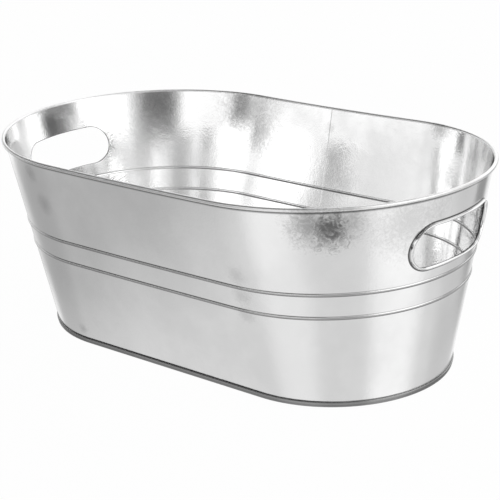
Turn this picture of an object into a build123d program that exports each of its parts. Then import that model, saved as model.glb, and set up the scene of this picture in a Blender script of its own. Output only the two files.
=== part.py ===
from build123d import *
import os
from math import cos, pi, radians, sin, sqrt, tan

# Oval sheet-steel tub: one flared wall sheet, a countersunk bottom locked on with a double seam,
# and a wire rolled into the rim. Origin on the floor under the middle, X along the tub, Z up.

# Driving dimensions, in millimetres and degrees
rim_length = 450.0
rim_width = 277.0
base_length = 385.0
base_width = 195.0
side_height = 170.5
end_rise = 2.7
sheet = 0.4
fold_gap = 0.06

rim_bead_radius = 1.6
rim_curl_turn = 325.0
curl_facets = 11
wire_gap = 0.06
wire_facets = 8

rib_heights = (79.0, 98.7)
rib_width = 2.8
rib_depth = 0.9
rib_facets = 4

hand_hole_length = 98.0
hand_hole_height = 34.0
hand_hole_z = 129.4
lip_width = 2.4
lip_depth = 2.6

seam_height = 4.2
seam_lean = 11.5
seam_bend = 0.42
body_hook_z = 2.5
panel_z = 6.5
panel_bend = 1.2

side_seam_width = 8.0
side_seam_laps = 2

# Double seam: five layers of sheet, counted outwards from the wall layer
CHUCK_WALL, BODY_WALL, COVER_HOOK, BODY_HOOK, SEAM_BAND = -1, 0, 1, 2, 3
layer_pitch = sheet + fold_gap
seam_slope = tan(radians(seam_lean))

# Outer face of the wall, straight from the top of the seam to the middle of the rim bead.
# Heights are taken at the middle of the long sides; the ends of the same line stand higher.
seam_reach = SEAM_BAND * layer_pitch - seam_slope * seam_height
foot_half_width = base_width / 2 - seam_reach
foot_half_length = base_length / 2 - seam_reach
foot_straight = foot_half_length - foot_half_width
bead_z = side_height - rim_bead_radius
bead_offset = rim_bead_radius - sheet
head_half_width = rim_width / 2 - rim_bead_radius - bead_offset
head_half_length = rim_length / 2 - rim_bead_radius - bead_offset


def along_wall(foot, head, z):
    """Value at height z of what changes evenly from the wall's foot to its head."""
    return foot + (head - foot) * (z - seam_height) / (bead_z - seam_height)


def half_width(z):
    return along_wall(foot_half_width, head_half_width, z)


def straight_half(z):
    return along_wall(foot_half_length, head_half_length, z) - half_width(z)


def end_tilt(z):
    """The sheet has one width all round and leans less at the ends, so its lines rise there."""
    return along_wall(0, end_rise, z) / (straight_half(z) / 2 + half_width(z))


def ring(straight, radius, z, tilt=0.0):
    """Four curves round the tub: two half-round ends, tilted up, and two sides that sag between them."""
    shoulder_z = z + straight * tan(tilt) / 2
    sag_z = z - straight * tan(tilt) / 2
    tip_x = straight + radius * cos(tilt)
    tip_z = shoulder_z + radius * sin(tilt)
    corners = [
        (straight, -radius, shoulder_z),
        (straight, radius, shoulder_z),
        (-straight, radius, shoulder_z),
        (-straight, -radius, shoulder_z),
    ]
    with BuildLine():
        right = ThreePointArc(corners[0], (tip_x, 0, tip_z), corners[1])
        back = Bezier(corners[1], (0, radius, sag_z), corners[2])
        left = ThreePointArc(corners[2], (-tip_x, 0, tip_z), corners[3])
        front = Bezier(corners[3], (0, -radius, sag_z), corners[0])
    return (right, back, left, front)


def wall_ring(z, outset):
    """Line round the wall at height z, outset from its outer face."""
    return ring(straight_half(z), half_width(z) + outset, z, end_tilt(z))


def bead_ring(angle, radius):
    """Line round the rim bead, at an angle in its section: 0 outwards, 90 up."""
    turn = radians(angle)
    bead_radius = head_half_width + bead_offset + radius * cos(turn)
    return ring(straight_half(bead_z), bead_radius, bead_z + radius * sin(turn), end_tilt(bead_z))


def seam_y(layer, z):
    """Middle of a seam layer at height z, in the section through the middle of the back."""
    return foot_half_width + layer * layer_pitch - sheet / 2 + seam_slope * (z - seam_height)


def seam_ring(layer, face, z):
    """Line round a face of a seam layer, +1 for its outer face and -1 for its inner one."""
    return ring(foot_straight, seam_y(layer, z) + face * sheet / 2, z)


def ruled_solid(rings):
    """Closed sheet solid ruled from each ring to the next, and from the last to the first."""
    faces = []
    for index, this_ring in enumerate(rings):
        for here, there in zip(this_ring, rings[index - 1]):
            faces.append(Face.make_surface_from_curves(here, there))
    return Solid(Shell(faces))


# A rib is a shallow round bead: an arc through its two edges and its crest
rib_radius = (rib_width**2 / 4 + rib_depth**2) / (2 * rib_depth)
rib_middle = rib_depth - rib_radius


def wall_outline(z, outset):
    """Level outline of the wall at its ends, outset from its outer face."""
    end_z = along_wall(seam_height, bead_z + end_rise, z)
    with BuildSketch(Plane.XY.offset(end_z)) as outline:
        SlotCenterToCenter(2 * straight_half(z), 2 * (half_width(z) + outset))
    return outline.sketch


def rib_rings(rib_z, face):
    """Lines across one rib, upwards, for the sheet's face at the given outset."""
    radius = rib_radius + face
    reach = sqrt(radius**2 - (face - rib_middle) ** 2)
    rise = [-reach * cos(pi * step / rib_facets) for step in range(rib_facets + 1)]
    return [wall_ring(rib_z + dz, rib_middle + sqrt(radius**2 - dz**2)) for dz in rise]


def wall_face(face):
    """Lines of one face of the wall sheet, upwards from the seam to the rim bead."""
    rings = []
    for rib_z in rib_heights:
        rings.extend(rib_rings(rib_z, face))
    return rings


curl_angles = [180 - rim_curl_turn * step / curl_facets for step in range(curl_facets + 1)]
outer_curl = [bead_ring(angle, rim_bead_radius) for angle in curl_angles]
inner_curl = [bead_ring(angle, rim_bead_radius - sheet) for angle in curl_angles]

# Body hook: the foot of the wall turned out and up, with its outer bends cut at 45 degrees
fold_z = sheet + fold_gap
fold_top_z = fold_z + sheet
body_hook_rings = [
    seam_ring(BODY_WALL, -1, seam_height),
    seam_ring(BODY_WALL, -1, fold_z + seam_bend),
    seam_ring(BODY_WALL, +1, fold_z),
    seam_ring(BODY_HOOK, -1, fold_z),
    seam_ring(BODY_HOOK, +1, fold_z + seam_bend),
    seam_ring(BODY_HOOK, +1, body_hook_z),
    seam_ring(BODY_HOOK, -1, body_hook_z),
    seam_ring(BODY_HOOK, -1, fold_top_z),
    seam_ring(BODY_WALL, +1, fold_top_z),
    seam_ring(BODY_WALL, +1, seam_height),
]

# Hand-hole lips: the slot-shaped curl round each hole, standing on the middle of the sheet
lip_round = 0.45 * lip_width
with BuildPart() as hand_hole_lips:
    loft([wall_outline(z, lip_depth) for z in (seam_height, bead_z)], ruled=True)
    with BuildSketch(Plane.YZ):
        with Locations((0, hand_hole_z)):
            SlotOverall(hand_hole_length + 2 * lip_width, hand_hole_height + 2 * lip_width)
            SlotOverall(hand_hole_length, hand_hole_height, mode=Mode.SUBTRACT)
    extrude(amount=rim_length, both=True, mode=Mode.INTERSECT)
    lip_faces = hand_hole_lips.faces().sort_by(Axis.X)
    fillet(lip_faces[0].edges() + lip_faces[-1].edges(), radius=lip_round)
    loft([wall_outline(z, -sheet / 2) for z in (seam_height, bead_z)], ruled=True, mode=Mode.SUBTRACT)

# Wall sheet: body hook, flared ribbed wall, rim curl, hand holes, and the side seam at the back
with BuildPart() as wall_sheet:
    add(ruled_solid(
        body_hook_rings + wall_face(0) + inner_curl + outer_curl[::-1] + wall_face(-sheet)[::-1]
    ))
    add(hand_hole_lips.part)
    with BuildSketch(Plane.YZ):
        with Locations((0, hand_hole_z)):
            SlotOverall(hand_hole_length, hand_hole_height)
    extrude(amount=rim_length, both=True, mode=Mode.SUBTRACT)

    side_seam_depth = side_seam_laps * sheet
    side_seam_top = bead_z - rim_bead_radius
    side_seam_line = (side_seam_depth - sheet / 2) / 2
    with BuildSketch(Plane.YZ):
        with BuildLine():
            start_z = seam_height + side_seam_depth
            for rib_z in rib_heights:
                edges_z = (rib_z - rib_width / 2, rib_z + rib_width / 2)
                low, high = [(half_width(z) + side_seam_line, z) for z in edges_z]
                crest = (half_width(rib_z) + rib_depth + side_seam_line, rib_z)
                Line((half_width(start_z) + side_seam_line, start_z), low)
                ThreePointArc(low, crest, high)
                start_z = edges_z[1]
            Line(high, (half_width(side_seam_top) + side_seam_line, side_seam_top))
        trace(line_width=side_seam_depth + sheet / 2)
    extrude(amount=side_seam_width / 2, both=True)

# Rim wire, held inside the rim curl
with BuildPart() as rim_wire:
    wire_angles = [360 * step / wire_facets for step in range(wire_facets)]
    wire_radius = rim_bead_radius - sheet - wire_gap
    add(ruled_solid([bead_ring(angle, wire_radius) for angle in wire_angles]))

# Bottom panel: flat floor, countersunk edge, and a rim folded round the body hook
band_top_z = seam_height - sheet
cover_hook_z = fold_top_z + fold_gap
panel_under_z = panel_z - sheet
panel_edge = seam_y(CHUCK_WALL, panel_z) - sheet / 2 - panel_bend
with BuildPart() as bottom_panel:
    add(ruled_solid([
        ring(foot_straight, panel_edge, panel_z),
        seam_ring(CHUCK_WALL, -1, panel_z),
        seam_ring(CHUCK_WALL, +1, panel_z - panel_bend),
        seam_ring(CHUCK_WALL, +1, sheet),
        seam_ring(SEAM_BAND, -1, sheet),
        seam_ring(SEAM_BAND, -1, band_top_z),
        seam_ring(COVER_HOOK, +1, band_top_z),
        seam_ring(COVER_HOOK, +1, cover_hook_z),
        seam_ring(COVER_HOOK, -1, cover_hook_z),
        seam_ring(COVER_HOOK, -1, seam_height - seam_bend),
        seam_ring(COVER_HOOK, +1, seam_height),
        seam_ring(SEAM_BAND, -1, seam_height),
        seam_ring(SEAM_BAND, +1, seam_height - seam_bend),
        seam_ring(SEAM_BAND, +1, seam_bend),
        seam_ring(SEAM_BAND, -1, 0),
        seam_ring(CHUCK_WALL, +1, 0),
        seam_ring(CHUCK_WALL, -1, seam_bend),
        seam_ring(CHUCK_WALL, -1, panel_under_z - panel_bend),
        ring(foot_straight, panel_edge, panel_under_z),
    ]))
    with BuildSketch(Plane.XY.offset(panel_under_z)):
        SlotCenterToCenter(2 * foot_straight, 2 * panel_edge)
    extrude(amount=sheet)

# Sealing compound, pressed into the fold above the body hook
sealant_foot_z = body_hook_z + fold_gap
sealant_head_z = band_top_z - fold_gap
with BuildPart() as seam_sealant:
    add(ruled_solid([
        seam_ring(BODY_HOOK, -1, sealant_foot_z),
        seam_ring(BODY_HOOK, +1, sealant_foot_z),
        seam_ring(BODY_HOOK, +1, sealant_head_z),
        seam_ring(BODY_HOOK, -1, sealant_head_z),
    ]))

os.makedirs("parts", exist_ok=True)
for name, piece in (
    ("wall_sheet", wall_sheet),
    ("rim_wire", rim_wire),
    ("bottom_panel", bottom_panel),
    ("seam_sealant", seam_sealant),
):
    piece.part.label = name
    export_step(piece.part, f"parts/{name}.step")
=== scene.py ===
"""Oval galvanised tub: the dressed model around its construction frame, with its studio."""

from math import atan, ceil, cos, pi, radians, sin, sqrt, tan

import bmesh
import bpy
from bpy.props import FloatProperty, FloatVectorProperty, IntProperty, PointerProperty
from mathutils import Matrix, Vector


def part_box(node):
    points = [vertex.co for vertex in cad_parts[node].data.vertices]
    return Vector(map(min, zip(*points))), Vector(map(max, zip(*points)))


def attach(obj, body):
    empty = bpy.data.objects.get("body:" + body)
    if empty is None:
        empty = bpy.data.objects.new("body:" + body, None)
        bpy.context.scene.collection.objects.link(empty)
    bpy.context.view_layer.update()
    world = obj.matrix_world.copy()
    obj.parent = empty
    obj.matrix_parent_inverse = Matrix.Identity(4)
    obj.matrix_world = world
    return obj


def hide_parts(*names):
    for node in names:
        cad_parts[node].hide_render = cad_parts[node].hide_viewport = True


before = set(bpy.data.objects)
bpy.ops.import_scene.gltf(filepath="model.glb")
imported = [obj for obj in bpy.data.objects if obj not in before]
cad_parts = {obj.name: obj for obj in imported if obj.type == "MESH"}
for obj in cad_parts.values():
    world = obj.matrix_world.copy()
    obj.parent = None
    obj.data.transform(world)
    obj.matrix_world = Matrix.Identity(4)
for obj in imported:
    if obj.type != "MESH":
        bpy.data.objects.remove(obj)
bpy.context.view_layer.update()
wall_low, wall_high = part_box("wall_sheet")
bottom_low, bottom_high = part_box("bottom_panel")

bl_info = {
    "name": "Oval galvanised tub",
    "version": (1, 0, 0),
    "blender": (4, 5, 0),
    "location": "View3D > Sidebar > Tub",
    "description": "Builds the sheet-metal skin of an oval tub and the studio it stands in",
    "category": "Object",
}

SENSOR_WIDTH = 36.0
MM = 0.001

# How much higher the rim stands at the ends than at the long sides
END_RISE = 2.7 * MM

# Points closer than this are one point
MERGE = 0.001 * MM

# Distance between the rows of points beside a fold
FOLD_STEP = 0.6 * MM

# Part of an end's columns, to each side of its middle, that the grid leaves open for a hand hole
HOLE_PATCH = 0.18

# Where the crest of a hand hole's lip is, as a share of its width, and how full its roll is
LIP_CREST = 0.45
LIP_FULLNESS = 0.8
LIP_FACETS = 8

# Facets of each rounded edge of the seam band
BAND_FACETS = 6

# How much painted shade the metal gets in its folds, from 0 on open sheet to 1
BEAD_FOLD_SHADE = 0.9
RIB_FOLD_SHADE = 0.9
RIB_TOP_FOLD_SHADE = 0.6
LIP_TOP_FOLD_SHADE = 0.6
WALL_FOOT_FOLD_SHADE = 0.1
GROOVE_FOLD_SHADE = 0.5
BAND_FOLD_SHADE = 0.7
BAND_FOOT_FOLD_SHADE = 0.2

# Painted shade on the lapped end of the sheet beside the side seam: how much darker its colour is made, in
# place of its darker reflection
LAP_SHADE = 0.07

# How far noise moves the edges of the zinc's marks, as a share of their reach
FEATHER = 1.3

# Unevenness of the sheet's face: scale and detail of its noise, strength and height
SHEET_WAVES = (
    ("slow waves", 14.0, 1.0, 0.18, 2.0 * MM),
    ("spangle", 170.0, 3.0, 0.22, 0.3 * MM),
    ("frost", 700.0, 2.0, 0.35, 0.12 * MM),
)

# The studio as the metal shows it, in soft-edged panels laid over each other in this order. A panel has
# its azimuth, its reach to each side, its lowest and highest elevation and its softness, all in degrees,
# and its brightness.
STUDIO_PANELS = (
    ("front sweep", -92, 15, -90, 0, 16, 0.92),
    ("right sweep", 8, 15, -90, 0, 18, 1.02),
    ("right grey", 76, 20, -90, 0, 10, 0.62),
    ("back sweep", 130, 24, -90, 0, 6, 0.95),
    ("left white", 146, 14, -90, -10, 10, 1.20),
    ("left sweep", -170, 14, -90, -14, 10, 0.64),
    ("left edge", 136, 6, -60, -10, 5, 0.42),
    ("right edge", 89, 8, -24, -12, 4, 0.32),
    ("dark front", -150, 26, 14, 75, 6, 0.11),
    ("dark above", -90, 30, 30, 75, 6, 0.20),
    ("front horizon", -143, 14, -2, 9, 3, 1.00),
    ("dark left", 164, 18, 17, 75, 6, 0.18),
    ("gap in front", -111, 6, -2, 9, 3, 0.40),
    ("camera", -43, 15, -2, 32, 9, 0.26),
    ("right softbox", 9, 26, -2, 38, 4, 1.80),
    ("low corner", 38, 14, -2, 6, 11, 0.34),
    ("back corner", 58, 9, -2, 33, 4, 0.55),
)

# Marks in the zinc: place on the wall in metres, reach and darkness. The three front marks are partly the
# zinc's dark crystals and partly a painted reflection of the dark room in front of the tub.
ZINC_MARKS_AND_REFLECTIONS = (
    ("front stain and reflection", (0.158, -0.110, 0.159), 26 * MM, 0.56),
    ("front stain and reflection right", (0.176, -0.096, 0.159), 24 * MM, 0.46),
    ("front crystals and reflection", (0.169, -0.102, 0.156), 25 * MM, 0.92),
    ("left cloud", (-0.106, -0.126, 0.132), 13 * MM, 0.25),
    ("left rim cloud", (-0.115, -0.130, 0.158), 12 * MM, 0.25),
    ("front streak", (0.096, -0.122, 0.109), 12 * MM, 0.18),
    ("front streak middle", (0.097, -0.117, 0.092), 12 * MM, 0.20),
    ("front streak below", (0.097, -0.113, 0.076), 12 * MM, 0.18),
    ("low cloud", (-0.100, -0.099, 0.013), 7 * MM, 0.25),
    ("hole cloud", (0.207, -0.054, 0.155), 42 * MM, 0.30),
    ("back cloud", (-0.098, 0.134, 0.160), 42 * MM, 0.50),
    ("back cloud tip", (-0.081, 0.129, 0.138), 30 * MM, 0.40),
    ("end crystals", (-0.180, 0.096, 0.163), 26 * MM, 0.38),
    ("left end cloud", (-0.220, -0.004, 0.162), 28 * MM, 0.30),
    ("right end cloud", (0.112, 0.132, 0.168), 14 * MM, 0.50),
    ("seam cloud", (0.018, 0.122, 0.108), 26 * MM, 0.28),
    ("seam stain", (-0.003, 0.132, 0.152), 9 * MM, 0.25),
    ("seam stain below", (0.001, 0.127, 0.130), 12 * MM, 0.25),
)


def length(name, description, default):
    """A size property in metres."""
    return FloatProperty(name=name, description=description, default=default, unit="LENGTH", precision=5)


def share(name, description, default):
    """A property between 0 and 1."""
    return FloatProperty(name=name, description=description, default=default, min=0, max=1, subtype="FACTOR")


def colour(name, description, default):
    """A colour property."""
    return FloatVectorProperty(name=name, description=description, default=default, size=4, min=0, max=1,
                               subtype="COLOR")


def angle(name, description, degrees):
    """An angle property, given in degrees."""
    return FloatProperty(name=name, description=description, default=radians(degrees), subtype="ANGLE",
                         unit="ROTATION")


def brightness(name, description, default):
    """A property for how bright a part of the room is."""
    return FloatProperty(name=name, description=description, default=default, min=0)


class TubSizes(bpy.types.PropertyGroup):
    """Sizes of the sheet-metal tub."""

    rim_length: length("Rim length", "Overall length over the rim bead", wall_high.x - wall_low.x)
    rim_width: length("Rim width", "Overall width over the rim bead", wall_high.y - wall_low.y)
    rim_height: length("Rim height", "Height of the rim at the long sides", wall_high.z - END_RISE)
    end_rise: length("End rise", "How much higher the rim stands at the ends", END_RISE)
    band_length: length("Band length", "Length over the seam band at the foot", bottom_high.x - bottom_low.x)
    band_width: length("Band width", "Width over the seam band at the foot", bottom_high.y - bottom_low.y)
    band_depth: length("Band depth", "How far the seam band stands out from the wall", 1.4 * MM)
    band_height: length("Band height", "Height of the seam band", 4.2 * MM)
    band_bend: length("Band bend", "Radius of the seam band's edges", 0.6 * MM)
    sheet: length("Sheet", "Thickness of the sheet", 0.4 * MM)
    bead_radius: length("Bead radius", "Radius of the rolled rim", 1.6 * MM)
    low_rib: length("Low rib", "Height of the lower rib at the long sides", 79.0 * MM)
    high_rib: length("High rib", "Height of the upper rib at the long sides", 98.7 * MM)
    rib_width: length("Rib width", "Width of a rib", 2.8 * MM)
    rib_depth: length("Rib depth", "How far a rib stands out", 0.9 * MM)
    hole_length: length("Hole length", "Length of a hand hole", 98.0 * MM)
    hole_height: length("Hole height", "Height of a hand hole", 34.0 * MM)
    hole_middle: length("Hole middle", "Height of the middle of the hand holes", 129.4 * MM)
    lip_width: length("Lip width", "Width of the curled lip round a hand hole", 2.4 * MM)
    lip_depth: length("Lip depth", "How far the lip stands out", 2.6 * MM)
    floor_height: length("Floor height", "Height of the countersunk floor", bottom_high.z)
    side_seam_width: length("Side seam width", "Width of the lock seam up the back", 8.0 * MM)
    seam_groove: length("Seam groove", "Depth of the groove that the lock seam leaves inside", 0.2 * MM)


class TubFinish(bpy.types.PropertyGroup):
    """Colours and gloss of the finishes."""

    zinc: colour("Zinc", "Bright zinc", (0.93, 0.93, 0.93, 1))
    bloom: colour("Zinc bloom", "Dull clouds in the zinc", (0.84, 0.84, 0.84, 1))
    # Colour of the dark crystals, also laid on as painted reflection and painted shade
    stain_and_shade: colour("Stain and shade", "Dark crystals in the zinc", (0.10, 0.10, 0.10, 1))
    # Colour of the painted shade in folds, in creases and along edges
    fold_shade: colour("Fold shade", "Dull metal in folds and along edges", (0.06, 0.06, 0.06, 1))
    gloss: share("Roughness of bright zinc", "Roughness where the zinc is bright", 0.08)
    satin: share("Roughness of bloom", "Roughness where the zinc is dull", 0.20)
    clouds: share("Clouds", "How much the clouds dull the zinc", 0.80)
    grain: share("Grain", "How much the fine grain dulls the zinc", 0.25)
    bead_wear: share("Bead wear", "How much rougher the rolled rim is", 0.24)
    wire: colour("Wire", "Drawn steel of the rim wire", (0.45, 0.45, 0.46, 1))
    compound: colour("Sealing compound", "Rubber in the seam", (0.05, 0.05, 0.05, 1))


class TubStage(bpy.types.PropertyGroup):
    """Camera, floor and light."""

    camera_place: FloatVectorProperty(
        name="Camera place", description="Where the camera stands", default=(0.7694, -0.9013, 0.4932),
        size=3, subtype="TRANSLATION", unit="LENGTH")
    camera_turn: FloatVectorProperty(
        name="Camera turn", description="How the camera is turned",
        default=(radians(70.607), radians(1.906), radians(39.190)), size=3, subtype="EULER", unit="ROTATION")
    camera_lens: FloatProperty(
        name="Lens", description="Focal length in millimetres on a 36 mm sensor", default=106.05)
    camera_shift: FloatVectorProperty(
        name="Shift", description="Lens shift as a share of the frame", default=(-0.0169, -0.0034), size=2)
    floor_size: length("Floor size", "Side of the floor", 8.0)
    floor: colour("Floor", "Pale floor", (0.86, 0.86, 0.86, 1))
    floor_glow: share("Floor glow", "How much of the floor's white hides its shading", 0.98)
    # Painted contact shadow on the floor, as metal shows it
    contact_near: length("Contact near", "Distance from the wall's foot where its dark line ends", 2.0 * MM)
    contact_far: length("Contact far", "Distance from the wall's foot where the floor is clear", 4.5 * MM)
    contact_level: share("Contact level", "Brightness of the floor at the foot, as metal shows it", 0.45)
    # Painted shade on the floor, as metal shows it, away from the light
    fade_turn: angle("Fade turn", "Heading in which the floor grows dull, as metal shows it", -165)
    fade_near: length("Fade near", "How far the floor keeps its full brightness, as metal shows it", 0.0)
    fade_far: length("Fade far", "Where the floor's fall in brightness ends, as metal shows it", 0.26)
    fade_level: share("Fade level", "Brightness of the floor past its fall", 0.66)
    dark_near: length("Dark near", "Where the floor starts to grow dark, as metal shows it", 0.45)
    dark_far: length("Dark far", "Where the floor is quite dark, as metal shows it", 0.65)
    dark_turn: angle("Dark turn", "Heading of the middle of the dark part of the floor", -125)
    dark_reach: angle("Dark reach", "How far the dark part goes to each side of its middle", 32)
    dark_edge: angle("Dark edge", "How softly the dark part of the floor ends", 8)
    dark_level: share("Dark level", "Brightness of the dark floor, as metal shows it", 0.08)
    sweep: brightness("Sweep", "Brightness of the pale sweep below the horizon", 0.74)
    horizon: brightness("Horizon", "Brightness of the room above the sweep", 1.2)
    horizon_edge: share("Horizon edge", "How softly the sweep meets the room", 0.04)
    ceiling: brightness("Ceiling", "Brightness of the room overhead", 0.6)
    ceiling_low: angle("Ceiling low", "Elevation at which the ceiling starts", 46)
    ceiling_high: angle("Ceiling high", "Elevation from which all is ceiling", 58)


class TubForm:
    """The lines of the tub, worked out from its sizes.

    A column of the wall is a pair: its place along the straight side, from -1 to 1, and its heading.
    A level is a height at the long sides; the same line stands higher at the ends.
    """

    END_STEPS = 144
    SIDE_STEPS = 36
    SEAM_STEPS = 4
    SETTLING_ROUNDS = 6

    def __init__(self, sizes):
        self.sizes = sizes
        self.foot_z = sizes.band_height
        self.bead_z = sizes.rim_height - sizes.bead_radius
        self.bead_offset = sizes.bead_radius - sizes.sheet
        self.foot_radius = sizes.band_width / 2 - sizes.band_depth
        self.foot_straight = (sizes.band_length - sizes.band_width) / 2
        self.head_radius = sizes.rim_width / 2 - sizes.bead_radius - self.bead_offset
        self.head_straight = (sizes.rim_length - sizes.rim_width) / 2
        self.columns = self.make_columns()

    def make_columns(self):
        """Columns round the tub: right end, back, left end and front."""
        turns = [pi * step / self.END_STEPS - pi / 2 for step in range(self.END_STEPS)]
        plain = [1 - 2 * step / self.SIDE_STEPS for step in range(self.SIDE_STEPS)]
        edge = self.sizes.side_seam_width / 2 / self.head_straight
        fine = self.sizes.sheet / self.head_straight / 2
        steps = range(-self.SEAM_STEPS, self.SEAM_STEPS + 1)
        seam = [side * edge + fine * step for side in (1, -1) for step in steps]
        runs = sorted(plain + seam, reverse=True)
        right = [(1, turn) for turn in turns]
        back = [(run, pi / 2) for run in runs]
        left = [(-1, turn + pi) for turn in turns]
        front = [(-run, -pi / 2) for run in plain]
        return right + back + left + front

    def side_seam(self, column, outer):
        """Outset of the lock seam up the middle of the back: a strip outside, a shallow groove inside."""
        along, heading = column
        if sin(heading) < 1:
            return 0.0
        place = along * self.head_straight
        half = self.sizes.side_seam_width / 2
        if outer:
            edge = (half - abs(place)) / self.sizes.sheet
            return self.sizes.sheet * max(0.0, min(1.0, edge))
        off = abs(place + half) / self.sizes.sheet
        return self.sizes.seam_groove * max(0.0, 1 - off)

    def rise(self, level):
        """How far up the wall a level is, from 0 at the foot to 1 at the bead."""
        return (level - self.foot_z) / (self.bead_z - self.foot_z)

    def radius(self, level):
        return self.foot_radius + (self.head_radius - self.foot_radius) * self.rise(level)

    def straight(self, level):
        return self.foot_straight + (self.head_straight - self.foot_straight) * self.rise(level)

    def tilt(self, level):
        """Slope of the end's half circle, which makes the wall's lines rise towards the ends."""
        return self.sizes.end_rise * self.rise(level) / (self.straight(level) / 2 + self.radius(level))

    def ring_point(self, column, straight, radius, z, tilt=0.0):
        along, heading = column
        reach = radius * cos(heading)
        x = along * straight + reach * cos(tilt)
        height = z + tan(tilt) * straight * along**2 / 2 + abs(reach) * sin(tilt)
        return Vector((x, radius * sin(heading), height))

    def wall_point(self, column, level, outset):
        radius = self.radius(level) + outset
        return self.ring_point(column, self.straight(level), radius, level, self.tilt(level))

    def bead_point(self, column):
        """Point on the middle line of the rim bead."""
        radius = self.head_radius + self.bead_offset
        return self.ring_point(column, self.head_straight, radius, self.bead_z, self.tilt(self.bead_z))

    def foot_point(self, column, outset, z):
        """Point of the seam at the foot, outset from the foot of the wall."""
        return self.ring_point(column, self.foot_straight, self.foot_radius + outset, z)

    def end_column(self, side, y, z):
        """Column and level of the wall through y and z on the right (1) or left (-1) end, by settling."""
        level = z
        heading = 0.0
        for _ in range(self.SETTLING_ROUNDS):
            radius = self.radius(level)
            across = y / radius
            heading = atan(across / sqrt(1 - across**2))
            tilt = self.tilt(level)
            level = z - tan(tilt) * self.straight(level) / 2 - radius * cos(heading) * sin(tilt)
        turn = heading if side > 0 else pi - heading
        return (side, turn), level


def fall(value, full, none):
    """1 up to the value full, falling to 0 at the value none."""
    return max(0.0, min(1.0, (none - value) / (none - full)))


def outward(column):
    """Level direction in which a column's wall faces."""
    return Vector((cos(column[1]), sin(column[1]), 0))


class SheetMesh:
    """Collects the points and faces of a piece of sheet.

    Each point has the level and facing of its place on the wall, the outset of its skin from the
    wall's outer face, and its painted fold shade, from 0 on open sheet to 1 in a fold.
    """

    def __init__(self):
        self.points = []
        self.facings = []
        self.values = {"level": [], "skin": [], "fold_shade": []}
        self.faces = []

    def point(self, place, facing=Vector((0, 0, 1)), level=0.0, skin=0.0, fold_shade=0.0):
        self.points.append(place)
        self.facings.append(facing)
        for name, value in (("level", level), ("skin", skin), ("fold_shade", fold_shade)):
            self.values[name].append(value)
        return len(self.points) - 1

    def strip(self, first, second, flip=False):
        """Quads between two closed rows of points."""
        for here in range(len(first)):
            there = (here + 1) % len(first)
            face = (first[here], first[there], second[there], second[here])
            self.faces.append(face[::-1] if flip else face)

    def piece(self, name):
        """The object, with what is known of each point as attributes and its doubles merged."""
        mesh = bpy.data.meshes.new(name)
        mesh.from_pydata([tuple(place) for place in self.points], [], self.faces)
        for label, values in self.values.items():
            mesh.attributes.new(label, "FLOAT", "POINT").data.foreach_set("value", values)
        flat = [part for facing in self.facings for part in facing]
        mesh.attributes.new("facing", "FLOAT_VECTOR", "POINT").data.foreach_set("vector", flat)
        work = bmesh.new()
        work.from_mesh(mesh)
        bmesh.ops.remove_doubles(work, verts=work.verts, dist=MERGE)
        work.to_mesh(mesh)
        work.free()
        mesh.shade_smooth()
        piece = bpy.data.objects.new(name, mesh)
        bpy.context.scene.collection.objects.link(piece)
        return piece


class Graph:
    """Adds nodes to a tree and links them."""

    def __init__(self, tree):
        self.tree = tree

    def node(self, kind, inputs=None, **settings):
        """A node with its settings; inputs maps sockets to values or to other sockets."""
        made = self.tree.nodes.new(kind)
        for name, value in settings.items():
            setattr(made, name, value)
        for key, value in (inputs or {}).items():
            if isinstance(value, bpy.types.NodeSocket):
                self.tree.links.new(value, made.inputs[key])
            else:
                made.inputs[key].default_value = value
        return made

    def math(self, operation, first, second=0.0, third=0.0, clamp=False):
        values = {0: first, 1: second, 2: third}
        return self.node("ShaderNodeMath", values, operation=operation, use_clamp=clamp).outputs[0]

    def vector(self, operation, first, second=(0, 0, 0)):
        made = self.node("ShaderNodeVectorMath", {0: first, 1: second}, operation=operation)
        gives_number = operation in ("LENGTH", "DOT_PRODUCT", "DISTANCE")
        return made.outputs["Value" if gives_number else "Vector"]

    def ramp(self, value, low, high, start=0.0, end=1.0):
        """Value taken smoothly from low..high to start..end."""
        inputs = {"Value": value, "From Min": low, "From Max": high, "To Min": start, "To Max": end}
        return self.node("ShaderNodeMapRange", inputs, interpolation_type="SMOOTHSTEP").outputs["Result"]

    def noise(self, place, scale, detail=2.0, roughness=0.5, distortion=0.0):
        inputs = {"Vector": place, "Scale": scale, "Detail": detail, "Roughness": roughness,
                  "Distortion": distortion}
        return self.node("ShaderNodeTexNoise", inputs).outputs["Fac"]

    def blend(self, factor, first, second):
        """Number taken from first to second; they are sockets 2 and 3 of the node."""
        return self.node("ShaderNodeMix", {0: factor, 2: first, 3: second}).outputs[0]

    def mix(self, factor, first, second):
        """Colour mixed from first to second; they are sockets 6 and 7 of the node, and 2 of its outputs."""
        return self.node("ShaderNodeMix", {0: factor, 6: first, 7: second}, data_type="RGBA").outputs[2]


def node_tree(name, inputs):
    """An empty geometry tree with named inputs, and its graph, group input and group output."""
    tree = bpy.data.node_groups.new(name, "GeometryNodeTree")
    tree.interface.new_socket("Geometry", in_out="OUTPUT", socket_type="NodeSocketGeometry")
    tree.interface.new_socket("Geometry", in_out="INPUT", socket_type="NodeSocketGeometry")
    for label, kind in inputs:
        tree.interface.new_socket(label, in_out="INPUT", socket_type=f"NodeSocket{kind}")
    graph = Graph(tree)
    return graph, graph.node("NodeGroupInput").outputs, graph.node("NodeGroupOutput")


def finish_tree(graph, geometry, material, output):
    """Ends a tree with real geometry in the given material."""
    real = graph.node("GeometryNodeRealizeInstances", {"Geometry": geometry}).outputs[0]
    dressed = graph.node("GeometryNodeSetMaterial", {"Geometry": real, "Material": material}).outputs[0]
    graph.tree.links.new(dressed, output.inputs[0])


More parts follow.
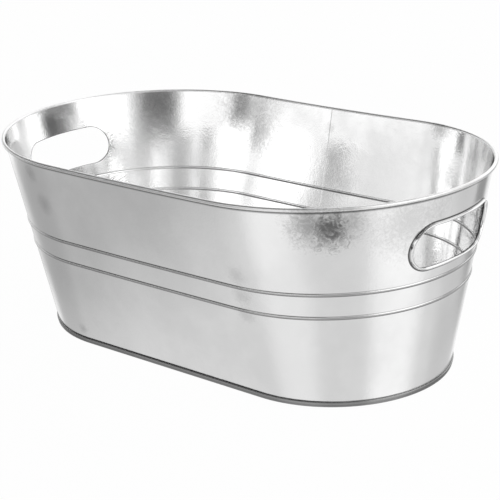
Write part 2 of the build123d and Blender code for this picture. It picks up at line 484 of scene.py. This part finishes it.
def apply_tree(source, graph, values, name):
    """Runs a geometry tree on the source object and returns the plain mesh piece that it gives."""
    modifier = source.modifiers.new(name, "NODES")
    modifier.node_group = graph.tree
    for item in graph.tree.interface.items_tree:
        if item.in_out == "INPUT" and item.name in values:
            modifier[item.identifier] = values[item.name]
    depsgraph = bpy.context.evaluated_depsgraph_get()
    mesh = bpy.data.meshes.new_from_object(source.evaluated_get(depsgraph))
    mesh.name = name
    bpy.data.objects.remove(source)
    piece = bpy.data.objects.new(name, mesh)
    bpy.context.scene.collection.objects.link(piece)
    return piece


def rib_press():
    """Geometry tree that presses the two ribs out of the wall, round like a shallow bead."""
    inputs = [(name, "Float") for name in ("Low rib", "High rib", "Rib width", "Rib depth")]
    graph, given, output = node_tree("Rib press", inputs + [("Material", "Material")])
    level = graph.node("GeometryNodeInputNamedAttribute", {"Name": "level"}, data_type="FLOAT").outputs[0]
    skin = graph.node("GeometryNodeInputNamedAttribute", {"Name": "skin"}, data_type="FLOAT").outputs[0]
    facing = graph.node("GeometryNodeInputNamedAttribute", {"Name": "facing"}, data_type="FLOAT_VECTOR")
    half = graph.math("MULTIPLY", given["Rib width"], 0.5)
    depth = given["Rib depth"]
    squares = graph.math("MULTIPLY_ADD", half, half, graph.math("MULTIPLY", depth, depth))
    radius = graph.math("DIVIDE", squares, graph.math("MULTIPLY", depth, 2.0))
    middle = graph.math("SUBTRACT", depth, radius)
    bend = graph.math("ADD", radius, skin)
    swells = []
    for name in ("Low rib", "High rib"):
        above = graph.math("SUBTRACT", level, given[name])
        drop = graph.math("MULTIPLY", above, above)
        square = graph.math("SUBTRACT", graph.math("MULTIPLY", bend, bend), drop)
        reach = graph.math("SQRT", graph.math("MAXIMUM", square, 0.0))
        outset = graph.math("SUBTRACT", graph.math("ADD", middle, reach), skin)
        swells.append(graph.math("MAXIMUM", outset, 0.0))
    push = graph.math("ADD", *swells)
    offset = graph.node("ShaderNodeVectorMath", {0: facing.outputs[0], "Scale": push}, operation="SCALE")
    pressed = graph.node("GeometryNodeSetPosition",
                         {"Geometry": given["Geometry"], "Offset": offset.outputs[0]}).outputs[0]
    finish_tree(graph, pressed, given["Material"], output)
    return graph


def bead_roll():
    """Geometry tree that rolls a round bead along a path."""
    inputs = [("Bead radius", "Float"), ("Facets", "Int"), ("Material", "Material")]
    graph, given, output = node_tree("Bead roll", inputs)
    section = graph.node("GeometryNodeCurvePrimitiveCircle",
                         {"Resolution": given["Facets"], "Radius": given["Bead radius"]}).outputs[0]
    tube = graph.node("GeometryNodeCurveToMesh",
                      {"Curve": given["Geometry"], "Profile Curve": section}).outputs[0]
    smooth = graph.node("GeometryNodeSetShadeSmooth", {"Geometry": tube}).outputs[0]
    finish_tree(graph, smooth, given["Material"], output)
    return graph


def wall_levels(form):
    """Levels of the wall's rows, close together across the ribs, and the rows of the hand-hole patch."""
    sizes = form.sizes
    plain_step, rib_step, patch_step = 6 * MM, 0.2 * MM, 3.2 * MM
    rib_reach = sizes.rib_width / 2 + 2 * rib_step
    patch_margin = 8 * MM
    foot_tuck = 1 * MM
    under_bead = 3 * sizes.bead_radius
    hole_reach = sizes.hole_height / 2 + patch_margin
    hole_level = form.end_column(1, 0, sizes.hole_middle)[1]
    marks = [
        (form.foot_z - foot_tuck, FOLD_STEP),
        (form.foot_z + 2 * FOLD_STEP, plain_step),
        (sizes.low_rib - rib_reach, rib_step),
        (sizes.low_rib + rib_reach, plain_step),
        (sizes.high_rib - rib_reach, rib_step),
        (sizes.high_rib + rib_reach, plain_step),
        (hole_level - hole_reach, patch_step),
        (hole_level + hole_reach, plain_step),
        (form.bead_z - under_bead, FOLD_STEP),
        (form.bead_z - rib_step, plain_step),
    ]
    levels = []
    patch = []
    for (start, step), (end, _) in zip(marks, marks[1:]):
        count = max(1, ceil((end - start) / step))
        if step == patch_step:
            patch = [len(levels), len(levels) + count]
        levels.extend(start + (end - start) * index / count for index in range(count))
    return levels + [form.bead_z - rib_step, form.bead_z], patch


def lip_section(sizes):
    """Section of the curled lip, inwards: distance from the hole's edge, height over the wall and painted
    fold shade.
    """
    foot = sizes.lip_width + FOLD_STEP
    crest = LIP_CREST * sizes.lip_width
    foot_shade, foot_clear = 0.2, 0.6
    top_clear, edge_shade = 3 / LIP_FACETS, 1 / 6
    # Painted shade at the lip's foot, on its crest and at the hole's edge
    section = [(foot + FOLD_STEP, 0.0, 0.0)]
    for step in range(LIP_FACETS + 1):
        way = step / LIP_FACETS
        height = sizes.lip_depth * (1 - cos(pi * way)) / 2
        section.append((foot - (foot - crest) * way, height, fall(way, foot_shade, foot_clear)))
    for step in range(1, LIP_FACETS):
        way = step / LIP_FACETS
        height = sizes.lip_depth * cos(pi / 2 * way) ** LIP_FULLNESS
        fold_shade = max(LIP_TOP_FOLD_SHADE * fall(way, 0.0, top_clear), fall(1 - way, 0.0, edge_shade))
        section.append((crest * (1 - sin(pi / 2 * way)), height, fold_shade))
    return section + [(0.0, 0.0, 1.0)]


def hand_hole(form, mesh, side, border, outer):
    """Fills the patch inside a border of grid points with a hand hole, and returns the hole's edge points."""
    sizes = form.sizes
    radius = sizes.hole_height / 2
    straight = sizes.hole_length / 2 - radius
    # The inner face gets full painted fold shade at the hole's edge
    flat = [(2 * FOLD_STEP, 0.0, 0.0), (FOLD_STEP, 0.0, 0.0), (0.0, 0.0, 1.0)]
    section = lip_section(sizes) if outer else flat
    skin = 0.0 if outer else -sizes.sheet
    foot = section[0][0]
    plain_loops = 6
    rays = []
    for corner in border:
        place = mesh.points[corner]
        middle = max(-straight, min(straight, place.y))
        rays.append((middle, Vector((place.y - middle, place.z - sizes.hole_middle))))
    steps = [(index / plain_loops, None) for index in range(1, plain_loops)]
    steps += [(1.0, place) for place in section]
    rows = [border]
    for share_in, lip in steps:
        row = []
        for middle, ray in rays:
            away, height, fold_shade = lip or (foot, 0.0, 0.0)
            gap = ray.length + (radius + away - ray.length) * share_in
            spot = ray.normalized() * gap
            column, level = form.end_column(side, middle + spot.x, sizes.hole_middle + spot.y)
            place = form.wall_point(column, level, skin + height)
            row.append(mesh.point(place, outward(column), level, skin, fold_shade))
        rows.append(row)
    for first, second in zip(rows, rows[1:]):
        mesh.strip(first, second, flip=not outer)
    return rows[-1]


def wall_fold_shade(form, level):
    """How much painted shade a level of the wall's outer face gets: under the bead, from each rib's lower
    edge up across the rib, along each rib's top and at the foot.
    """
    sizes = form.sizes
    bead_shade, bead_clear = 1.6 * sizes.bead_radius, 2.6 * sizes.bead_radius
    rib_shade, rib_edge = 3 * MM, 0.4 * MM
    folds = [
        min(BEAD_FOLD_SHADE, fall(form.bead_z - level, bead_shade, bead_clear)),
        WALL_FOOT_FOLD_SHADE * fall(level - form.foot_z, 0.0, 2 * FOLD_STEP),
    ]
    for rib in (sizes.low_rib, sizes.high_rib):
        bottom = rib - sizes.rib_width / 2
        top = rib + sizes.rib_width / 2
        over, under = fall(level - bottom, 0.0, rib_shade), fall(bottom - level, 0.0, rib_edge)
        folds.append(RIB_FOLD_SHADE * min(over, under))
        folds.append(RIB_TOP_FOLD_SHADE * fall(abs(level - top), 0.0, rib_edge))
    return max(folds)


def wall_skin(form, mesh, outer):
    """One face of the wall, with its hand holes; returns its bottom and top rows and the holes' edges."""
    levels, (patch_low, patch_high) = wall_levels(form)
    skin = 0.0 if outer else -form.sizes.sheet
    grid = []
    for level in levels:
        row = []
        for column in form.columns:
            seam = form.side_seam(column, outer)
            # Painted shade in the folds of the outer face and in the seam groove of the inner face
            fold_shade = wall_fold_shade(form, level) if outer else GROOVE_FOLD_SHADE * seam / form.sizes.seam_groove
            place = form.wall_point(column, level, skin + seam)
            row.append(mesh.point(place, outward(column), level, skin, fold_shade))
        grid.append(row)
    count = len(form.columns)
    reach = round(form.END_STEPS * HOLE_PATCH)
    middles = {1: form.columns.index((1, 0.0)), -1: form.columns.index((-1, pi))}
    holes = {side: range(middle - reach, middle + reach) for side, middle in middles.items()}
    for row in range(len(levels) - 1):
        for here in range(count):
            in_hole = any(here in span for span in holes.values())
            if in_hole and patch_low <= row < patch_high:
                continue
            there = (here + 1) % count
            face = (grid[row][here], grid[row][there], grid[row + 1][there], grid[row + 1][here])
            mesh.faces.append(face if outer else face[::-1])
    edges = []
    for side, span in holes.items():
        first, last = span[0], span[-1] + 1
        border = [grid[patch_low][here] for here in range(first, last)]
        border += [grid[row][last] for row in range(patch_low, patch_high)]
        border += [grid[patch_high][here] for here in range(last, first, -1)]
        border += [grid[row][first] for row in range(patch_high, patch_low, -1)]
        edges.append(hand_hole(form, mesh, side, border, outer))
    return grid[0], grid[-1], edges


def band_section(sizes):
    """Section of the bottom panel's edge, from the floor's top face round the seam band to its underside.

    Each place has its outset from the wall's foot and its height.
    """
    sheet, top, proud, bend = sizes.sheet, sizes.band_height, sizes.band_depth, sizes.band_bend
    inner = -2 * sheet
    under = inner - sheet
    arc = [pi / 2 * step / BAND_FACETS for step in range(BAND_FACETS + 1)]
    section = [(inner, sizes.floor_height), (inner, sheet), (proud - sheet, sheet)]
    section += [(0.0, top - sheet), (0.0, top)]
    section += [(proud - bend + bend * sin(turn), top - bend + bend * cos(turn)) for turn in arc]
    section += [(proud - bend + bend * cos(turn), bend - bend * sin(turn)) for turn in arc]
    section += [(under + bend - bend * sin(turn), bend - bend * cos(turn)) for turn in arc]
    return section + [(under, sizes.floor_height - sheet)]


def bottom_skin(form, mesh, loops):
    """The bottom panel's folded edge and both faces of its floor, in loops round one middle face."""
    sizes = form.sizes
    top = sizes.band_height
    lean = (form.head_radius - form.foot_radius) / (form.bead_z - form.foot_z)
    rows = []
    for outset, z in band_section(sizes):
        leaned = outset + lean * (z - top)
        # Painted shade on the seam band, darker towards its top
        fold_shade = min(BAND_FOLD_SHADE, BAND_FOOT_FOLD_SHADE + BAND_FOLD_SHADE * z / top) if 0 <= z <= top else 0.0
        rows.append([mesh.point(form.foot_point(column, leaned, z), fold_shade=fold_shade)
                     for column in form.columns])
    for first, second in zip(rows, rows[1:]):
        mesh.strip(first, second, flip=True)
    for last, z, flip in ((rows[0], sizes.floor_height, False),
                          (rows[-1], sizes.floor_height - sizes.sheet, True)):
        rim = form.foot_radius - 2 * sizes.sheet + lean * (z - top)
        for step in range(1, loops):
            radius = rim * (1 - step / loops)
            row = [mesh.point(form.ring_point(column, form.foot_straight, radius, z))
                   for column in form.columns]
            mesh.strip(last, row, flip=flip)
            last = row
        mesh.faces.append(last[::-1] if flip else last)


def new_material(name):
    """An empty node material: its graph, its surface shader and the object's coordinates."""
    material = bpy.data.materials.new(name)
    material.use_nodes = True
    graph = Graph(material.node_tree)
    shader = material.node_tree.nodes["Principled BSDF"]
    place = graph.node("ShaderNodeTexCoord").outputs["Object"]
    return material, graph, shader, place


def lap_shade(graph, place, sizes):
    """Painted shade on the lapped end of the sheet, from the side seam along the back, in place of the darker
    reflection of the lapped sheet.
    """
    split = graph.node("ShaderNodeSeparateXYZ", {0: place}).outputs
    edge = -sizes.side_seam_width / 2
    past = graph.ramp(split["X"], edge - sizes.sheet, edge + sizes.sheet)
    end = sizes.rim_length / 2
    fade_start = 0.3 * end
    fading = graph.ramp(split["X"], fade_start, end, LAP_SHADE, 0.0)
    at_back = graph.math("GREATER_THAN", split["Y"], 0.0)
    on_wall = graph.math("GREATER_THAN", split["Z"], sizes.floor_height + sizes.sheet)
    shade = graph.math("MULTIPLY", past, fading)
    return graph.math("MULTIPLY", shade, graph.math("MULTIPLY", at_back, on_wall))


def zinc_marks_and_reflections(graph, place):
    """How dark the marks in the zinc are: feathered crystals round a few places, the front ones partly a
    painted reflection.
    """
    feather = graph.noise(place, scale=230.0, detail=4.0, roughness=0.65, distortion=1.5)
    rough = graph.math("MULTIPLY_ADD", feather, FEATHER, -FEATHER / 2)
    dark = 0.0
    for _, spot, reach, depth in ZINC_MARKS_AND_REFLECTIONS:
        gap = graph.vector("DISTANCE", place, spot)
        gap = graph.math("MULTIPLY_ADD", gap, 1 / reach, rough)
        dark = graph.math("MAXIMUM", dark, graph.ramp(gap, 0.0, 1.0, depth, 0.0))
    return dark


def galvanised(scene, name="galvanised_zinc", worn=0.0):
    """Bright hot-dipped zinc: dull clouds, spangle, frost and dark crystals, with painted shade in the
    creases and on the lapped end, and a painted reflection in the front marks.
    """
    if name in bpy.data.materials:
        return bpy.data.materials[name]
    finish = scene.tub_finish
    material, graph, shader, place = new_material(name)
    cloud_low, cloud_high = 0.35, 0.7
    cloud = graph.ramp(graph.noise(place, scale=11.0, detail=4.0, roughness=0.6), cloud_low, cloud_high)
    cloud = graph.math("MULTIPLY", cloud, finish.clouds)
    grain = graph.noise(place, scale=260.0, detail=3.0, roughness=0.6)
    dull = graph.math("MULTIPLY_ADD", grain, finish.grain, cloud, clamp=True)
    zinc = graph.mix(dull, finish.zinc, finish.bloom)
    # Marks: the zinc's own crystals and smudges, a painted reflection in the front marks, and the painted
    # shade of the lapped end
    marks = graph.math("MAXIMUM", zinc_marks_and_reflections(graph, place), lap_shade(graph, place, scene.tub_sizes))
    marked_and_shaded = graph.mix(marks, zinc, finish.stain_and_shade)
    # Painted shade in the folds, laid on from the points' fold values
    fold = graph.node("ShaderNodeAttribute", attribute_name="fold_shade").outputs["Fac"]
    links = material.node_tree.links
    links.new(graph.mix(fold, marked_and_shaded, finish.fold_shade), shader.inputs["Base Color"])
    roughness = graph.ramp(dull, 0.0, 1.0, finish.gloss + worn, finish.satin + worn)
    links.new(roughness, shader.inputs["Roughness"])
    shader.inputs["Metallic"].default_value = 1.0
    normal = None
    for _, scale, detail, strength, height in SHEET_WAVES:
        inputs = {"Height": graph.noise(place, scale, detail), "Strength": strength, "Distance": height}
        if normal:
            inputs["Normal"] = normal
        normal = graph.node("ShaderNodeBump", inputs).outputs["Normal"]
    links.new(normal, shader.inputs["Normal"])
    return material


def drawn_wire(finish):
    """Grey drawn steel with fine marks."""
    material, graph, shader, place = new_material("drawn_wire")
    marks = graph.noise(place, scale=900.0, detail=3.0, roughness=0.6)
    darkening = 0.6
    dark = [part * darkening for part in finish.wire[:3]] + [1]
    material.node_tree.links.new(graph.mix(marks, finish.wire, dark), shader.inputs["Base Color"])
    shader.inputs["Metallic"].default_value = 1.0
    shader.inputs["Roughness"].default_value = 0.4
    return material


def sealing_compound(finish):
    """Matt black rubber pressed into the seam."""
    material, graph, shader, place = new_material("sealing_compound")
    lumps = graph.noise(place, scale=700.0)
    paling = 1.8
    pale = [part * paling for part in finish.compound[:3]] + [1]
    material.node_tree.links.new(graph.mix(lumps, finish.compound, pale), shader.inputs["Base Color"])
    shader.inputs["Roughness"].default_value = 0.8
    return material


def floor_tone(graph, place, form, stage):
    """Brightness of the floor as metal shows it: a painted contact shadow at the tub's foot, and darker away
    from the light.
    """
    split = graph.node("ShaderNodeSeparateXYZ", {0: place}).outputs
    across = graph.math("ABSOLUTE", split["X"])
    beyond = graph.math("MAXIMUM", graph.math("SUBTRACT", across, form.foot_straight), 0.0)
    spread = graph.node("ShaderNodeCombineXYZ", {"X": beyond, "Y": split["Y"]}).outputs[0]
    gap = graph.math("SUBTRACT", graph.vector("LENGTH", spread), form.foot_radius)
    # Painted contact shadow round the tub's foot, seen only in the metal's reflections
    contact = graph.ramp(gap, stage.contact_near, stage.contact_far, stage.contact_level, 1.0)
    away = graph.vector("DOT_PRODUCT", place, (cos(stage.fade_turn), sin(stage.fade_turn), 0))
    dulled = graph.ramp(away, stage.fade_near, stage.fade_far, 0.0, 1 - stage.fade_level)
    near = graph.ramp(away, stage.dark_near, stage.dark_far, 1.0, 0.0)
    fade = graph.math("SUBTRACT", 1.0, graph.math("MULTIPLY", dulled, near))
    middle = (cos(stage.dark_turn), sin(stage.dark_turn), 0)
    beside = graph.vector("DOT_PRODUCT", graph.vector("NORMALIZE", place), middle)
    outside, inside = stage.dark_reach + stage.dark_edge, stage.dark_reach - stage.dark_edge
    dark = graph.ramp(beside, cos(outside), cos(inside))
    far = graph.vector("DOT_PRODUCT", place, middle)
    loss = graph.ramp(far, stage.dark_near, stage.dark_far, 0.0, 1 - stage.dark_level)
    lit = graph.math("SUBTRACT", 1.0, graph.math("MULTIPLY", dark, loss))
    return graph.math("MULTIPLY", contact, graph.math("MULTIPLY", fade, lit))


def dress(piece, node):
    """Puts a finished piece on the tub in place of a construction node."""
    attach(piece, "root")
    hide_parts(node)


class TUB_OT_wall_sheet(bpy.types.Operator):
    """Make the flared wall with its ribs and hand holes"""

    bl_idname = "tub.wall_sheet"
    bl_label = "Wall sheet"

    def execute(self, context):
        sizes = context.scene.tub_sizes
        form = TubForm(sizes)
        mesh = SheetMesh()
        outer_foot, outer_head, outer_edges = wall_skin(form, mesh, True)
        inner_foot, inner_head, inner_edges = wall_skin(form, mesh, False)
        mesh.strip(inner_foot, outer_foot)
        mesh.strip(outer_head, inner_head)
        for outer_edge, inner_edge in zip(outer_edges, inner_edges):
            mesh.strip(outer_edge, inner_edge)
        values = {
            "Low rib": sizes.low_rib,
            "High rib": sizes.high_rib,
            "Rib width": sizes.rib_width,
            "Rib depth": sizes.rib_depth,
            "Material": galvanised(context.scene),
        }
        wall = apply_tree(mesh.piece("wall_blank"), rib_press(), values, "wall_skin")
        dress(wall, "wall_sheet")
        return {"FINISHED"}


class TUB_OT_rim_bead(bpy.types.Operator):
    """Roll the rim bead along the top of the wall"""

    bl_idname = "tub.rim_bead"
    bl_label = "Rim bead"

    facets: IntProperty(name="Facets", description="Facets round the bead", default=20, min=6)

    def execute(self, context):
        sizes = context.scene.tub_sizes
        form = TubForm(sizes)
        path = bpy.data.curves.new("rim_path", "CURVE")
        path.dimensions = "3D"
        spline = path.splines.new("POLY")
        spline.points.add(len(form.columns) - 1)
        for point, column in zip(spline.points, form.columns):
            point.co = (*form.bead_point(column), 1)
        spline.use_cyclic_u = True
        blank = bpy.data.objects.new("rim_path", path)
        context.scene.collection.objects.link(blank)
        values = {
            "Bead radius": sizes.bead_radius,
            "Facets": self.facets,
            "Material": galvanised(context.scene, "galvanised_bead", context.scene.tub_finish.bead_wear),
        }
        bead = apply_tree(blank, bead_roll(), values, "rim_bead")
        dress(bead, "wall_sheet")
        return {"FINISHED"}


class TUB_OT_bottom(bpy.types.Operator):
    """Make the countersunk floor with the seam band round its edge"""

    bl_idname = "tub.bottom"
    bl_label = "Bottom panel"

    loops: IntProperty(name="Loops", description="Loops of faces across the floor", default=24, min=2)

    def execute(self, context):
        mesh = SheetMesh()
        bottom_skin(TubForm(context.scene.tub_sizes), mesh, self.loops)
        piece = mesh.piece("bottom_skin")
        piece.data.materials.append(galvanised(context.scene))
        dress(piece, "bottom_panel")
        return {"FINISHED"}


class TUB_OT_inner_pieces(bpy.types.Operator):
    """Give the rim wire and the sealing compound their finish"""

    bl_idname = "tub.inner_pieces"
    bl_label = "Wire and compound"

    def execute(self, context):
        finish = context.scene.tub_finish
        for node, material in (("rim_wire", drawn_wire(finish)), ("seam_sealant", sealing_compound(finish))):
            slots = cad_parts[node].data.materials
            slots.clear()
            slots.append(material)
        return {"FINISHED"}


class TUB_OT_stage(bpy.types.Operator):
    """Set up the camera, the pale floor and the studio light"""

    bl_idname = "tub.stage"
    bl_label = "Stage"

    def execute(self, context):
        stage = context.scene.tub_stage
        self.camera(context.scene, stage)
        self.floor(context.scene, stage)
        self.room(context.scene, stage)
        context.scene.view_settings.view_transform = "Standard"
        return {"FINISHED"}

    def camera(self, scene, stage):
        camera = bpy.data.cameras.new("camera")
        camera.sensor_width = SENSOR_WIDTH
        camera.lens = stage.camera_lens
        camera.shift_x, camera.shift_y = stage.camera_shift
        holder = bpy.data.objects.new("camera", camera)
        holder.location = stage.camera_place
        holder.rotation_euler = stage.camera_turn
        scene.collection.objects.link(holder)
        scene.camera = holder

    def floor(self, scene, stage):
        half = stage.floor_size / 2
        corners = [(-half, -half, 0), (half, -half, 0), (half, half, 0), (-half, half, 0)]
        mesh = bpy.data.meshes.new("floor")
        mesh.from_pydata(corners, [], [(0, 1, 2, 3)])
        floor = bpy.data.objects.new("floor", mesh)
        scene.collection.objects.link(floor)
        material, graph, shader, place = new_material("pale_floor")
        shader.inputs["Base Color"].default_value = stage.floor
        shader.inputs["Roughness"].default_value = 0.9
        shader.inputs["Specular IOR Level"].default_value = 0.0
        white = graph.node("ShaderNodeEmission", {"Color": (1, 1, 1, 1), "Strength": 1.0}).outputs[0]
        path = graph.node("ShaderNodeLightPath").outputs
        glow = graph.math("MULTIPLY", path["Is Camera Ray"], stage.floor_glow)
        shaded = graph.node("ShaderNodeMixShader", {0: glow, 1: shader.outputs[0], 2: white}).outputs[0]
        tone = floor_tone(graph, place, TubForm(scene.tub_sizes), stage)
        clear = graph.node("ShaderNodeBsdfTransparent", {"Color": tone}).outputs[0]
        seen = path["Is Glossy Ray"]
        surface = graph.node("ShaderNodeMixShader", {0: seen, 1: shaded, 2: clear}).outputs[0]
        output = material.node_tree.nodes["Material Output"]
        material.node_tree.links.new(surface, output.inputs["Surface"])
        mesh.materials.append(material)

    def room(self, scene, stage):
        world = bpy.data.worlds.new("room")
        world.use_nodes = True
        scene.world = world
        graph = Graph(world.node_tree)
        facing = graph.node("ShaderNodeTexCoord").outputs["Generated"]
        split = graph.node("ShaderNodeSeparateXYZ", {0: facing}).outputs
        level = graph.node("ShaderNodeCombineXYZ", {"X": split["X"], "Y": split["Y"]}).outputs[0]
        heading = graph.vector("NORMALIZE", level)

        def cover(azimuth, reach, low, high, edge):
            """Share of a panel that is seen in the direction looked at."""
            aim = (cos(radians(azimuth)), sin(radians(azimuth)), 0)
            near = graph.vector("DOT_PRODUCT", heading, aim)
            inside = graph.ramp(near, cos(radians(reach + edge)), cos(radians(reach - edge)))
            foot, head = sin(radians(low)), sin(radians(high))
            fade = radians(edge)
            over = graph.ramp(split["Z"], foot - fade, foot)
            under = graph.ramp(split["Z"], head, head + fade, 1.0, 0.0)
            return graph.math("MULTIPLY", inside, graph.math("MULTIPLY", over, under))

        gain = graph.ramp(split["Z"], -stage.horizon_edge, 0.0, stage.sweep, stage.horizon)
        overhead = graph.ramp(split["Z"], sin(stage.ceiling_low), sin(stage.ceiling_high))
        gain = graph.blend(overhead, gain, stage.ceiling)
        for _, *extent, bright in STUDIO_PANELS:
            gain = graph.blend(cover(*extent), gain, bright)
        room = graph.node("ShaderNodeBackground", {"Color": (1, 1, 1, 1), "Strength": gain}).outputs[0]
        white = graph.node("ShaderNodeBackground", {"Color": (1, 1, 1, 1), "Strength": 1.0}).outputs[0]
        seen = graph.node("ShaderNodeLightPath").outputs["Is Camera Ray"]
        surface = graph.node("ShaderNodeMixShader", {0: seen, 1: room, 2: white}).outputs[0]
        output = world.node_tree.nodes["World Output"]
        world.node_tree.links.new(surface, output.inputs["Surface"])


class TUB_PT_panel(bpy.types.Panel):
    """Sizes, finishes and steps of the tub"""

    bl_idname = "TUB_PT_panel"
    bl_label = "Oval tub"
    bl_space_type = "VIEW_3D"
    bl_region_type = "UI"
    bl_category = "Tub"

    def draw(self, context):
        for operator in OPERATORS:
            self.layout.operator(operator.bl_idname)
        for group in (context.scene.tub_sizes, context.scene.tub_finish, context.scene.tub_stage):
            box = self.layout.box()
            for name in group.__annotations__:
                box.prop(group, name)


GROUPS = {"tub_sizes": TubSizes, "tub_finish": TubFinish, "tub_stage": TubStage}
OPERATORS = (
    TUB_OT_wall_sheet,
    TUB_OT_rim_bead,
    TUB_OT_bottom,
    TUB_OT_inner_pieces,
    TUB_OT_stage,
)


def register():
    for made in (*GROUPS.values(), *OPERATORS, TUB_PT_panel):
        bpy.utils.register_class(made)
    for name, group in GROUPS.items():
        setattr(bpy.types.Scene, name, PointerProperty(type=group))


def unregister():
    for name in GROUPS:
        delattr(bpy.types.Scene, name)
    for made in (TUB_PT_panel, *reversed(OPERATORS), *GROUPS.values()):
        bpy.utils.unregister_class(made)


def main():
    register()
    bpy.ops.tub.wall_sheet()
    bpy.ops.tub.rim_bead()
    bpy.ops.tub.bottom()
    bpy.ops.tub.inner_pieces()
    bpy.ops.tub.stage()


if __name__ == "__main__":
    main()
